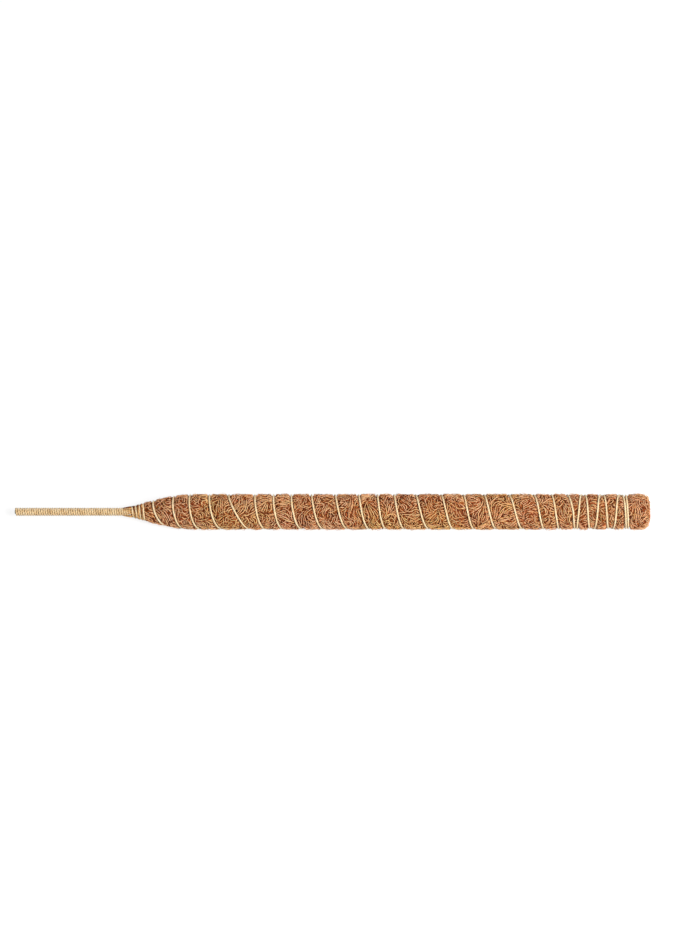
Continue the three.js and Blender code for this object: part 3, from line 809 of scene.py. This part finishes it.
# %% The neck as a piece
NECK_STRANDS = TUFT + SWELLING
# More dark strands on the side away from the light are painted shade; the rest are dark or light at random.
DARK_IN_LIGHT, MORE_IN_SHADE, DARK_BETWEEN = 0.3, 0.6, 0.55  # shares of dark strands
DARK_TONES, LIGHT_TONES, NECK_WARMTHS = (0, 0.28), (0.85, 1), (0.7, 1)
dark_share = np.concatenate([DARK_IN_LIGHT + MORE_IN_SHADE * shaded, np.full(SWELLING, DARK_BETWEEN)])
dark = rng.random(NECK_STRANDS) < dark_share
neck_tones = np.where(dark, rng.uniform(*DARK_TONES, NECK_STRANDS), rng.uniform(*LIGHT_TONES, NECK_STRANDS))
neck_warmths = rng.uniform(*NECK_WARMTHS, NECK_STRANDS)
neck_paths, neck_radii = np.concatenate([tuft, swelling]), np.concatenate([tuft_radii, swell_radii])
strand_piece("coir_neck", neck_paths, neck_radii, neck_tones, neck_warmths)

# %% [markdown]
# ## The filling, rolled round the core
# At the top end you look onto the roll itself: coir wound round the core, layer on layer. A flat disc would do for
# the photograph's angle. Seen from the end, though, the layers are what you notice, so strands are laid on the
# filling's end along a spiral.

# %% Filling
FILLING_RADIUS = POLE_RADIUS - GROOVE_DEPTH - MAT_THICKNESS - CLEARANCE
FILLING_TIP_RADIUS = BORE_RADIUS + LEAST_WALL
FILLING_START, FILLING_END = 24 * MM, COIR_LENGTH - 1.5 * MM
FILLING_TIP_LENGTH = 6 * MM
FILLING_EDGE = 0.6 * MM
FILLING_SIDES = 48
filling_outline = [(FILLING_START, BORE_RADIUS), (FILLING_START, FILLING_TIP_RADIUS)]
for along in np.linspace(FILLING_START + FILLING_TIP_LENGTH, NECK_LENGTH, 8):
    outside = roll_radius(along) - GROOVE_DEPTH - MAT_THICKNESS - CLEARANCE
    filling_outline.append((along, max(outside, FILLING_TIP_RADIUS)))
filling_outline += [
    (FILLING_END - 1 * MM, FILLING_RADIUS), (FILLING_END - FILLING_EDGE, FILLING_RADIUS - FILLING_EDGE),
    (FILLING_END - FILLING_EDGE, BORE_RADIUS), (FILLING_START, BORE_RADIUS),
]
filling = spun(filling_outline, FILLING_SIDES)
# The filling wears the mat's finish, whose dark brown is mostly painted shade.
keep_piece("filling_roll", finished_mesh("filling_roll", filling), coir_deep, "inner_coir", "fibre_filling")

# %% Strands on the top end
TOP_STRANDS = 520
TOP_STRAND_RADIUS = 0.42 * MM
TOP_LENGTHS = (5 * MM, 12 * MM)
TOP_DRIFT = 4 * MM  # towards the core or away from it
TOP_WAVE = 0.3 * MM
TOP_DEPTHS = (0.3 * MM, 1.4 * MM)  # below the top end, on the mat and on the filling
TOP_SPREAD = 0.7 * MM
TOP_TUCK = 1.2 * MM
TOP_LAYER = 3 * MM
TOP_TONE, TOP_TONE_WAVE, TOP_TONE_SPREAD = 0.5, 0.12, 0.25
TOP_WARMTHS, TOP_RADIUS_SHARES = (0.1, 0.6), (0.7, 1.2)
ring_limits = (BORE_RADIUS + 1 * MM) ** 2, (POLE_RADIUS - TOP_ROUNDING) ** 2
ring_radius = np.sqrt(rng.uniform(*ring_limits, TOP_STRANDS))
start_angle = rng.uniform(0, TURN, TOP_STRANDS)
sweep_length = rng.uniform(*TOP_LENGTHS, TOP_STRANDS)
way = np.linspace(-0.5, 0.5, STRAND_POINTS)[None, :]
angle = start_angle[:, None] + (sweep_length / np.maximum(ring_radius, 3 * MM))[:, None] * way
radius = ring_radius[:, None] + rng.normal(0, TOP_DRIFT, TOP_STRANDS)[:, None] * way
radius = np.clip(radius + TOP_WAVE * np.sin(3 * angle), BORE_RADIUS + 0.8 * MM, POLE_RADIUS - TOP_ROUNDING)
below = np.where(radius > FILLING_RADIUS, *TOP_DEPTHS)
along = COIR_LENGTH - below - rng.uniform(0, TOP_SPREAD, TOP_STRANDS)[:, None] - TOP_TUCK * (2 * way) ** 4
end_radii = TOP_STRAND_RADIUS * rng.uniform(*TOP_RADIUS_SHARES, TOP_STRANDS)[:, None] * np.ones_like(way)
layer_tone = TOP_TONE + TOP_TONE_WAVE * np.sin(TURN * (ring_radius / TOP_LAYER + start_angle / TURN))
end_tones = np.clip(layer_tone + rng.normal(0, TOP_TONE_SPREAD, TOP_STRANDS), 0, 1)
end_warmths = rng.uniform(*TOP_WARMTHS, TOP_STRANDS)
end_paths = place(along, angle, radius)
strand_piece("filling_end_strands", end_paths, end_radii, end_tones, end_warmths, "inner_coir", "fibre_filling")

# %% [markdown]
# ## Twine, twisted from three yarns
# A plain tube would look like wire. Jute twine is three yarns laid round each other, which gives it the slanted
# ridges that catch the light. So for each run we take the points of its middle, and let three yarns circle them at
# a third of a turn apart, once round in 9 mm. The route is the part's own, so the yarns fill the solid twine.

# %% Yarns round a run of twine
YARNS = 3
YARN_SIDES = 6
YARN_SHARE = 0.51  # of the twine's radius
LAY_LENGTH = 9 * MM
BAKE_RUN = 8  # steps of a yarn in one cell of the bake map
POINTS_A_TURN = 110  # about 1.1 mm apart on the full roll


def lay_yarns(points, outward, offset):
    """Paths of the yarns at an offset from the middle of a twine, by yarn, and the distance along it."""
    ahead = np.gradient(points, axis=0)
    pace = np.linalg.norm(ahead, axis=1, keepdims=True)
    across = np.cross(ahead / pace, outward)
    across /= np.linalg.norm(across, axis=1, keepdims=True)
    out = np.cross(across, ahead / pace)
    length = np.cumsum(pace[:, 0]) - pace[0, 0]
    turns = [TURN * (length / LAY_LENGTH + yarn / YARNS) for yarn in range(YARNS)]
    paths = [points + offset * (np.cos(turn)[:, None] * out + np.sin(turn)[:, None] * across) for turn in turns]
    return np.stack(paths), length


def from_axis(points):
    """Which way is out, at points round the pole."""
    out = points * (0, 1, 1) - (0, 0, AXIS_HEIGHT)
    return out / np.linalg.norm(out, axis=1, keepdims=True)


def twine_piece(name, points, outward, material, slot, node, twine_radius=TWINE_RADIUS):
    """A run of twine as a piece of three yarns."""
    yarn_radius = YARN_SHARE * twine_radius
    yarns, length = lay_yarns(points, outward, twine_radius - yarn_radius)
    mesh = sweep(name, yarns, np.full(yarns.shape[:2], yarn_radius), YARN_SIDES)
    strand, step, side = strand_places(mesh, len(points), YARN_SIDES)[:3]
    add_map(mesh, "yarn", side / YARN_SIDES * TURN * yarn_radius, length[step] + strand)
    add_bake_map(mesh, len(points), YARN_SIDES, BAKE_RUN)
    print(f"{name}: {length[-1]:.2f} m of twine")
    keep_piece(name, mesh, material, slot, node)


runs = {
    "neck_twine": (-NECK_TURNS, NECK_LASHING_END, "neck_lashing"),
    "spiral_twine": (NECK_LASHING_END, SPIRAL_END, "spiral_binding"),
    "top_twine": (SPIRAL_END, BINDING_END, "top_lashing"),
}
for name, (start, end, node) in runs.items():
    points = twine_middle(np.linspace(start, end, round((end - start) * POINTS_A_TURN)))
    twine_piece(name, points, from_axis(points), binding_jute, "binding_twine", node)

# %% [markdown]
# ## Twine on the stake
# The stake's twine is an even helix, wound tightly over the core. Fewer steps make a turn, because the turns are
# small. The solid leaves a narrow gap between the turns, which the fur of the jute hides on a real stake, so the
# yarns are drawn a little fuller here and the turns all but touch.

# %% Stake wrap
WRAP_RADIUS = SHEATH_RADIUS + CLEARANCE + TWINE_RADIUS
WRAP_POINTS_A_TURN = 24
FULL_RADIUS = TWINE_RADIUS + 0.4 * WRAP_GAP  # leaves a fifth of the gap open
wrap_start, wrap_end = -STAKE_LENGTH + TWINE_RADIUS, -CLEARANCE - TWINE_RADIUS
wrap_turns = (wrap_end - wrap_start) / (TWINE_DIAMETER + WRAP_GAP)
wound = np.linspace(0, 1, round(wrap_turns * WRAP_POINTS_A_TURN))
points = place(wrap_start + (wrap_end - wrap_start) * wound, TURN * wrap_turns * wound, WRAP_RADIUS)
twine_piece("stake_twine", points, from_axis(points), stake_jute, "stake_twine", "stake_wrap", FULL_RADIUS)
print(f"{wrap_turns:.1f} turns on the stake")

# %% [markdown]
# ## The knot
# The twine is tied off at the back with a round turn on the spiral. Its two loops are a small helix round that run
# of twine, and the cut end is tucked in under them.

# %% Round turn
KNOT_LOOPS = 1.75
KNOT_CORNERS = 8  # of the solid in one loop
KNOT_POINTS = 64
KNOT_RADIUS = (TWINE_DIAMETER + CLEARANCE) / math.cos(math.pi / KNOT_CORNERS)
held = twine_middle(np.array([KNOT_TURN, KNOT_TURN + KNOT_STEP]))
held_way = (held[1] - held[0]) / np.linalg.norm(held[1] - held[0])
held_middle = held.mean(axis=0)
held_out = from_axis(held_middle[None, :])[0]
held_across = np.cross(held_way, held_out)
held_across /= np.linalg.norm(held_across)
loop = np.linspace(0, KNOT_LOOPS, KNOT_POINTS)
points = held_middle + np.outer((TWINE_DIAMETER + WRAP_GAP) * (loop - KNOT_LOOPS / 2), held_way)
round_run = np.outer(np.cos(TURN * loop), held_out) + np.outer(np.sin(TURN * loop), held_across)
twine_piece("knot_twine", points + KNOT_RADIUS * round_run, round_run, binding_jute, "binding_twine", "tie_knot")

# %% [markdown]
# ## The core
# The core is a soft steel wire in a green plastic sheath, cut flush at the stake end and a little short at the
# top. Only its two ends show. The solids have eight sides, so rounder pieces replace them, each spun from its
# outline with the cut edges broken by a small bevel. Both came through a die, which leaves lines along them: a few
# hundredths of a millimetre apart on real ones, and drawn 0.3 and 0.8 mm apart so that they show. One function makes
# the two finishes.

# %% Finishes of the core


def drawn_finish(name, run, gap, dark, light, sleek, dull, groove, **sockets):
    """Stock that came through a die: lines along it, dark to light and sleek to dull, grooved or flat."""
    material, tree = new_finish(name)
    spot = add_node(tree, "ShaderNodeTexCoord").outputs["Object"]
    drawn = add_node(tree, "ShaderNodeMapping", {"Vector": spot, "Scale": (1 / run, 1 / gap, 1 / gap)})
    lines = add_node(tree, "ShaderNodeTexNoise", {
        "Vector": drawn.outputs[0], "Scale": 1.0, "Detail": 2.0}).outputs["Fac"]
    colour = add_node(tree, "ShaderNodeValToRGB", {"Fac": lines}, ((0.3, dark), (0.7, light)))
    gloss = add_node(tree, "ShaderNodeMapRange", {"Value": lines, "To Min": sleek, "To Max": dull})
    if groove:
        die_lines = add_node(tree, "ShaderNodeBump", {"Strength": 0.2, "Distance": groove, "Height": lines})
        sockets["Normal"] = die_lines.outputs[0]
    skin = add_node(tree, "ShaderNodeBsdfPrincipled", {
        "Base Color": colour.outputs["Color"], "Roughness": gloss.outputs[0], **sockets})
    add_node(tree, "ShaderNodeOutputMaterial", {"Surface": skin.outputs[0]})
    return material


sheath_plastic = drawn_finish(
    "pvc_sheath_extruded", 30 * MM, 0.8 * MM, "35502f", "4a6a43", 0.35, 0.5, 0.05 * MM, IOR=1.53)
wire_steel = drawn_finish("steel_wire_drawn", 20 * MM, 0.3 * MM, "8b8c8d", "b4b5b6", 0.28, 0.42, 0, Metallic=1.0)
print("finishes:", sheath_plastic.name, "and", wire_steel.name)

# %% Wire and sheath
CORE_END = COIR_LENGTH - 4 * MM
EDGE_BREAK = 0.2 * MM
WIRE_HOLE = WIRE_RADIUS + CLEARANCE
WIRE_SIDES, SHEATH_SIDES = 24, 32
wire = spun([(-STAKE_LENGTH, 0), (-STAKE_LENGTH, WIRE_RADIUS), (CORE_END, WIRE_RADIUS), (CORE_END, 0)], WIRE_SIDES)
sheath = spun([(-STAKE_LENGTH, WIRE_HOLE), (-STAKE_LENGTH, SHEATH_RADIUS), (CORE_END, SHEATH_RADIUS),
               (CORE_END, WIRE_HOLE), (-STAKE_LENGTH, WIRE_HOLE)], SHEATH_SIDES)
for core in (wire, sheath):
    rims = [edge for edge in core.edges if len(edge.link_faces) == 2 and edge.calc_face_angle() > 1
            and abs(edge.verts[0].co.x - edge.verts[1].co.x) < 1 * MM]
    bmesh.ops.bevel(core, geom=rims, offset=EDGE_BREAK, segments=2, profile=0.5, affect="EDGES", material=-1)
keep_piece("core_wire_round", finished_mesh("core_wire_round", wire), wire_steel, "steel_wire", "core_wire")
sheath_mesh = finished_mesh("core_sheath_round", sheath)
keep_piece("core_sheath_round", sheath_mesh, sheath_plastic, "sheath_plastic", "core_sheath")

# %% [markdown]
# ## Floor
# The pole lies on a white table. The floor is a real matt surface, so it bounces light up and keeps the shadow. For
# the camera it also glows a little, which lifts the lit part to pure white. Brighter lamps would do that too, but
# they would bleach the coir. Light Path tells the rays that look at the floor from those that carry its light.

# %% Floor
FLOOR_SIZE = 6
FLOOR_GLOW = 0.78


def seen_directly(tree):
    """1 for rays that look at a surface, also by way of metal or glass, and 0 for those that carry its light."""
    rays = add_node(tree, "ShaderNodeLightPath").outputs
    seen = rays["Is Camera Ray"]
    for kind in ("Is Glossy Ray", "Is Transmission Ray"):
        seen = add_node(tree, "ShaderNodeMath", {0: seen, 1: rays[kind]}, operation="MAXIMUM").outputs[0]
    return seen


floor_white, tree = new_finish("floor_paper_white")
glow = add_node(tree, "ShaderNodeMath", {0: seen_directly(tree), 1: FLOOR_GLOW}, operation="MULTIPLY")
paper = add_node(tree, "ShaderNodeBsdfDiffuse", {"Color": linear("a0a0a0")})
lifted = add_node(tree, "ShaderNodeEmission", {"Color": (1, 1, 1, 1), "Strength": glow.outputs[0]})
both = add_node(tree, "ShaderNodeAddShader", {0: paper.outputs[0], 1: lifted.outputs[0]})
add_node(tree, "ShaderNodeOutputMaterial", {"Surface": both.outputs[0]})
ground = bmesh.new()
bmesh.ops.create_grid(ground, x_segments=1, y_segments=1, size=FLOOR_SIZE)
floor = bpy.data.objects.new("floor", finished_mesh("floor", ground, smooth=False))
floor.data.materials.append(floor_white)
bpy.context.collection.objects.link(floor)
print(f"floor {floor.dimensions.x:.0f} m across")

# %% [markdown]
# ## Sky and lamp
# Studio light is even and soft. A wide square lamp, in front of the pole and above it, and a pale sky share the
# light, at a level at which colours look as written. The sky is white to the eye, as the floor is, and dimmer as a
# light, so that the lamp can bring out the strands.

# %% Sky and lamp
SKY_LIGHT = 0.26
FULL_LIGHT = math.pi**2  # watts, of a lamp 1 m away that lights a white surface to plain white
KEY_SHARE = 1.08  # of full light, on a surface that faces the lamp
KEY_PLACE = Vector((1.2, -1.4, 2.1))
KEY_SIZE = 1.4
world = bpy.data.worlds.new("studio_sky")
world.use_nodes = True
bpy.context.scene.world = world
tree = world.node_tree
tree.nodes.clear()
level = add_node(tree, "ShaderNodeMapRange", {"Value": seen_directly(tree), "To Min": SKY_LIGHT, "To Max": 1.0})
sky = add_node(tree, "ShaderNodeBackground", {"Color": (1, 1, 1, 1), "Strength": level.outputs[0]})
add_node(tree, "ShaderNodeOutputWorld", {"Surface": sky.outputs[0]})


def look_at(thing, spot):
    """Turns a lamp or camera to a point."""
    thing.rotation_euler = (Vector(spot) - thing.location).to_track_quat("-Z", "Y").to_euler()


key = bpy.data.lights.new("key_softbox", "AREA")
key.shape = "SQUARE"
key.size = KEY_SIZE
key.energy = KEY_SHARE * FULL_LIGHT * KEY_PLACE.length_squared
key_object = bpy.data.objects.new("key_softbox", key)
key_object.location = KEY_PLACE
key_object.visible_camera = False
look_at(key_object, (0, 0, AXIS_HEIGHT))
bpy.context.collection.objects.link(key_object)
print(f"lamp of {key.energy:.0f} W, {KEY_PLACE.length:.1f} m away")

# %% [markdown]
# ## Camera
# The photograph looks down on the pole steeply and from far away, so that the pole hardly narrows. A long lens from
# 6 m does the same. Its focal length follows from the scale of the picture, and its place from where the middle of
# the pole comes out there, so the camera needs no shift.

# %% Camera
PICTURE_WIDTH, PICTURE_HEIGHT = 700, 932  # pixels
POLE_ACROSS, POLE_DOWN = 332.4, 511.8  # pixels, the middle of the pole in the picture
METRES_PER_PIXEL = 1.1748 * MM
CAMERA_DISTANCE = 6.0
VIEW_ELEVATION = math.radians(56.25)
BESIDE_MIDDLE = (POLE_ACROSS - PICTURE_WIDTH / 2) * METRES_PER_PIXEL
ABOVE_MIDDLE = (PICTURE_HEIGHT / 2 - POLE_DOWN) * METRES_PER_PIXEL
camera = bpy.data.cameras.new("camera")
camera.sensor_width = 36
camera.lens = camera.sensor_width * CAMERA_DISTANCE / (PICTURE_HEIGHT * METRES_PER_PIXEL)
camera.clip_end = 50
tilt = VIEW_ELEVATION + math.atan2(ABOVE_MIDDLE, CAMERA_DISTANCE)
back = Vector((0, -math.cos(tilt), math.sin(tilt)))
up = Vector((0, math.sin(tilt), math.cos(tilt)))
camera_object = bpy.data.objects.new("camera", camera)
camera_object.location = Vector((0, 0, AXIS_HEIGHT)) + CAMERA_DISTANCE * back - ABOVE_MIDDLE * up
camera_object.location.x -= BESIDE_MIDDLE
look_at(camera_object, camera_object.location - back)
bpy.context.collection.objects.link(camera_object)
bpy.context.scene.camera = camera_object
bpy.context.scene.view_settings.view_transform = "Standard"
print(f"lens {camera.lens:.1f} mm")
